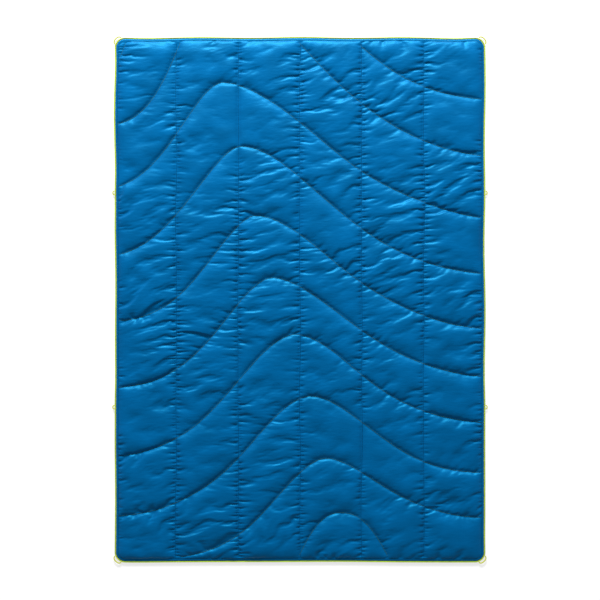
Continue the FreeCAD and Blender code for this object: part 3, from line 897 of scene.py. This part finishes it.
def cord_path(hinge, outward, along, inward, loop):
    """Out of the seam, round the loop and back in, at even steps. inward is one way per end."""
    turn = np.linspace(0, math.pi, CORD_SAMPLES)
    across = loop.half_span * np.sign(np.cos(turn)) * np.abs(np.cos(turn)) ** loop.fullness
    out = loop.reach * np.abs(np.sin(turn)) ** loop.fullness
    outside = hinge + np.outer(across, along) + np.outer(out, outward)
    path = np.vstack([
        outside[0] + CORD_SEWN_IN * inward[0],
        outside,
        outside[-1] + CORD_SEWN_IN * inward[1],
    ])
    reached = lengths_along(path)
    stops = np.linspace(0, reached[-1], round(reached[-1] / CORD_STEP) + 1)
    return np.column_stack([np.interp(stops, reached, path[:, i]) for i in range(3)])


def loops():
    """Each cord is one piece. It is pinched in the seam and fuller outside it."""
    cord = braid("loop_cord", CORD_GREEN)
    for joint in LOOP_JOINTS:
        name = joint["child"].removesuffix("_body")
        hinge = np.array(joint["pos_m"])
        axis = joint["axis"]
        outward = np.array([-axis[1], axis[0], 0.0])
        along = np.array([-outward[1], outward[0], 0.0])
        low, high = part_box(name)
        packed_radius = (high[2] - low[2]) / 2
        loop = SIDE_LOOP
        inward = [-outward, -outward]
        if name.startswith("corner"):
            # At a corner both ends run towards the middle of its rounding.
            loop = CORNER_LOOP
            centre = np.sign(hinge) * [OUTER_X - CORNER_RADIUS, OUTER_Y - CORNER_RADIUS, 0]
            centre[2] = hinge[2]
            inward = [centre - (hinge + side * loop.half_span * along) for side in (1, -1)]
            inward = [way / np.linalg.norm(way) for way in inward]
        path = cord_path(hinge, outward, along, inward, loop)
        distance = (path - hinge) @ outward
        fuller = CORD_FULLER * np.clip(distance / CORD_BEND, 0, 1)
        pinched = CORD_PINCHED * np.clip(-distance / PIPING_THICKNESS, 0, 1)
        piece = braided_tube(name + "_cord", path, packed_radius * (1 + fuller - pinched))
        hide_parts(name)
        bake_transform(piece)
        piece.data.materials.append(cord)


# ------------------------------ materials
# Colours, in linear light.
FACE_BLUE = (0.0002, 0.062, 0.182)
BACK_BLUE = (0.0002, 0.052, 0.142)
NYLON_GLINT = (0.0, 0.46, 0.76)
PIPING_GREEN = (0.33, 0.45, 0.03)
TAPE_GREEN = (0.40, 0.52, 0.03)
THREAD_BLUE = (0.0004, 0.022, 0.07)
THREAD_LIME = (0.03, 0.075, 0.012)
CORD_GREEN = (0.19, 0.20, 0.01)
BATTING_WHITE = (0.86, 0.87, 0.88)
BATTING_SHADE = (0.7, 0.71, 0.72)
BATTING_LIGHT = (0.9, 0.91, 0.92)

# How fast the ribs of each weave follow one another, in radians to the metre: 2 pi is one rib.
NYLON_WEAVE = 2600
PIPING_WEAVE = 900
TAPE_WEAVE = 700
# A wave texture of scale 1 turns through this many radians in a metre.
RADIANS_AT_SCALE_1 = 20


def scaled(colour, factor):
    return tuple(channel * factor for channel in colour)


def shader(name, colour, roughness):
    """A new material with its colour and roughness set, its tree and its Principled node."""
    material = bpy.data.materials.new(name)
    material.use_nodes = True
    tree = material.node_tree
    principled = tree.nodes["Principled BSDF"]
    principled.inputs["Base Color"].default_value = (*colour, 1)
    principled.inputs["Roughness"].default_value = roughness
    return material, tree, principled


def node(tree, kind, links=(), **values):
    """Adds a node, sets its sockets by name, and links (from socket, to socket name) pairs."""
    new = tree.nodes.new(kind)
    for key, value in values.items():
        if key in new.inputs:
            new.inputs[key].default_value = value
        else:
            setattr(new, key, value)
    for source, target in links:
        tree.links.new(source, new.inputs[target])
    return new


def noise(tree, coordinates, scale, stretch=(1, 1, 1), detail=4.0):
    mapping = node(tree, "ShaderNodeMapping", [(coordinates, "Vector")], Scale=stretch)
    links = [(mapping.outputs["Vector"], "Vector")]
    return node(tree, "ShaderNodeTexNoise", links, Scale=scale, Detail=detail).outputs["Fac"]


def object_place(tree):
    """Coordinates of the object itself."""
    return node(tree, "ShaderNodeTexCoord").outputs["Object"]


def mottle(tree, principled, factor, low, high, dark, light):
    """Colours a surface from dark to light as a factor goes from low to high."""
    ramp = node(tree, "ShaderNodeValToRGB", [(factor, "Fac")])
    ramp.color_ramp.elements[0].position = low
    ramp.color_ramp.elements[0].color = (*dark, 1)
    ramp.color_ramp.elements[1].position = high
    ramp.color_ramp.elements[1].color = (*light, 1)
    tree.links.new(ramp.outputs["Color"], principled.inputs["Base Color"])


def weave_height(tree, coordinates, weave):
    """A plain weave: two sets of ribs at right angles."""
    scale = weave / RADIANS_AT_SCALE_1
    links = [(coordinates, "Vector")]
    ribs = []
    for direction in ("X", "Y"):
        wave = node(tree, "ShaderNodeTexWave", links, Scale=scale, Distortion=0.0)
        wave.bands_direction = direction
        ribs.append(wave.outputs["Fac"])
    both = [(ribs[0], 0), (ribs[1], 1)]
    return node(tree, "ShaderNodeMath", both, operation="MULTIPLY").outputs[0]


def bump(tree, principled, *layers):
    """Stacks bump layers of (height, distance, strength) under a Principled node's normal."""
    normal = None
    for height, distance, strength in layers:
        links = [(height, "Height")]
        if normal is not None:
            links.append((normal, "Normal"))
        normal = node(tree, "ShaderNodeBump", links, Distance=distance, Strength=strength).outputs[0]
    tree.links.new(normal, principled.inputs["Normal"])


def nylon(name, colour, roughness):
    """Glossy woven nylon, a little uneven in colour and gloss, with fine crinkles."""
    material, tree, principled = shader(name, colour, roughness)
    flat = node(tree, "ShaderNodeUVMap", uv_map="flat").outputs["UV"]
    patches = noise(tree, flat, scale=9, stretch=(1, 1.6, 1), detail=3)
    mottle(tree, principled, patches, 0.3, 0.7, scaled(colour, 0.86), scaled(colour, 1.12))
    sheen = noise(tree, flat, scale=60, stretch=(1, 2, 1), detail=4)
    gloss_range = {"To Min": roughness - 0.05, "To Max": roughness + 0.09}
    gloss = node(tree, "ShaderNodeMapRange", [(sheen, "Value")], **gloss_range)
    tree.links.new(gloss.outputs["Result"], principled.inputs["Roughness"])
    crinkle = noise(tree, flat, scale=38, stretch=(1, 3.2, 1), detail=5)
    fine = noise(tree, flat, scale=190, stretch=(1, 2.2, 1), detail=3)
    ribs = weave_height(tree, flat, NYLON_WEAVE)
    bump(
        tree,
        principled,
        (crinkle, 1.3 * MM, 0.55),
        (fine, 0.25 * MM, 0.4),
        (ribs, 0.05 * MM, 0.35),
    )
    principled.inputs["Specular Tint"].default_value = (*NYLON_GLINT, 1)
    principled.inputs["Specular IOR Level"].default_value = 0.6
    return material


def thread(name, colour):
    """Sewing thread, with the bands of its twist."""
    material, tree, principled = shader(name, colour, roughness=0.5)
    place = object_place(tree)
    tone = noise(tree, place, scale=900, detail=2)
    mottle(tree, principled, tone, 0.35, 0.65, scaled(colour, 0.7), scaled(colour, 1.3))
    twist = node(tree, "ShaderNodeTexWave", [(place, "Vector")], Scale=120.0, Distortion=1.0)
    twist.bands_direction = "DIAGONAL"
    bump(tree, principled, (twist.outputs["Fac"], 0.1 * MM, 0.6))
    principled.inputs["Specular Tint"].default_value = (*colour, 1)
    return material


def woven(name, colour, roughness, weave):
    """A plain weave on the bias."""
    material, tree, principled = shader(name, colour, roughness)
    place = object_place(tree)
    tone = noise(tree, place, scale=60, detail=3)
    mottle(tree, principled, tone, 0.35, 0.65, scaled(colour, 0.82), colour)
    on_the_bias = node(tree, "ShaderNodeMapping", [(place, "Vector")], Rotation=(0, 0, math.pi / 4))
    ribs = weave_height(tree, on_the_bias.outputs["Vector"], weave)
    bump(tree, principled, (ribs, 0.2 * MM, 0.5))
    principled.inputs["Specular Tint"].default_value = (*colour, 1)
    return material


def braid(name, colour):
    """The fibres of a cord whose strands are part of its shape."""
    material, tree, principled = shader(name, colour, roughness=0.5)
    place = object_place(tree)
    tone = noise(tree, place, scale=500, detail=3)
    mottle(tree, principled, tone, 0.35, 0.6, scaled(colour, 0.75), colour)
    fibres = noise(tree, place, scale=2500, detail=2)
    bump(tree, principled, (fibres, 0.08 * MM, 0.5))
    principled.inputs["Specular Tint"].default_value = (*colour, 1)
    # The cord glows in its own colour: painted light, which keeps it bright towards the foot, where
    # the key light is weak.
    principled.inputs["Emission Color"].default_value = (*colour, 1)
    principled.inputs["Emission Strength"].default_value = 1.5
    return material


def fleece(name):
    """Loose white fibres."""
    material, tree, principled = shader(name, BATTING_WHITE, roughness=0.9)
    fibres = noise(tree, object_place(tree), scale=220, detail=6)
    mottle(tree, principled, fibres, 0.3, 0.7, BATTING_SHADE, BATTING_LIGHT)
    bump(tree, principled, (fibres, 1.5 * MM, 0.8))
    principled.inputs["Sheen Weight"].default_value = 0.5
    return material


# ------------------------------ stage, light and camera
FLOOR_HALF_WIDTH = 14.0
FLOOR_GREY = 0.32
# The floor gives off some light of its own, so that the blanket's shadow on it is faint.
FLOOR_GLOW = 0.64
# One wide light stands beyond the head of the blanket, low enough to shade every crease.
KEY_PLACE = (-0.4, 4.6, 2.5)
KEY_TARGET = (0, 0.1, 0)
KEY_SIZE = (3.2, 1.5)
KEY_POWER = 790
WORLD_STRENGTH = 0.5
# The blanket's width is this share of the picture's.
BLANKET_SHARE = 0.6185
LENS = 100
SENSOR_WIDTH = 36


def stage():
    size = FLOOR_HALF_WIDTH
    corners = [(-size, -size, 0), (size, -size, 0), (size, size, 0), (-size, size, 0)]
    floor = mesh_object("floor", corners, [(0, 1, 2, 3)], smooth=False)
    grey = (FLOOR_GREY, FLOOR_GREY, FLOOR_GREY)
    material, tree, principled = shader("paper_floor", grey, roughness=0.9)
    grain = noise(tree, object_place(tree), scale=30)
    bump(tree, principled, (grain, 0.2 * MM, 0.1))
    principled.inputs["Emission Color"].default_value = (1, 1, 1, 1)
    principled.inputs["Emission Strength"].default_value = FLOOR_GLOW
    floor.data.materials.append(material)


def area_light(name, place, target, size, power):
    """A rectangular light at a place, turned towards a target."""
    data = bpy.data.lights.new(name, "AREA")
    data.shape = "RECTANGLE"
    data.size, data.size_y = size
    data.energy = power
    lamp = bpy.data.objects.new(name, data)
    lamp.location = place
    direction = Vector(np.array(target) - np.array(place))
    lamp.rotation_euler = direction.to_track_quat("-Z", "Y").to_euler()
    bpy.context.scene.collection.objects.link(lamp)


def lights():
    area_light("key", KEY_PLACE, KEY_TARGET, KEY_SIZE, KEY_POWER)
    world = bpy.data.worlds.new("studio")
    world.use_nodes = True
    background = world.node_tree.nodes["Background"]
    background.inputs["Color"].default_value = (1, 1, 1, 1)
    background.inputs["Strength"].default_value = WORLD_STRENGTH
    bpy.context.scene.world = world


def camera():
    """Straight above the middle of the blanket, far off, so that its edges look square-on."""
    data = bpy.data.cameras.new("camera")
    data.lens = LENS
    data.sensor_width = SENSOR_WIDTH
    view_width = 2 * OUTER_X / BLANKET_SHARE
    eye = bpy.data.objects.new("camera", data)
    eye.location = (0, 0, LOFT / 2 + view_width * LENS / SENSOR_WIDTH)
    bpy.context.scene.collection.objects.link(eye)
    bpy.context.scene.camera = eye
    bpy.context.scene.view_settings.view_transform = "Standard"


stage()
quilted_body()
edge()
stitches()
loops()
lights()
camera()
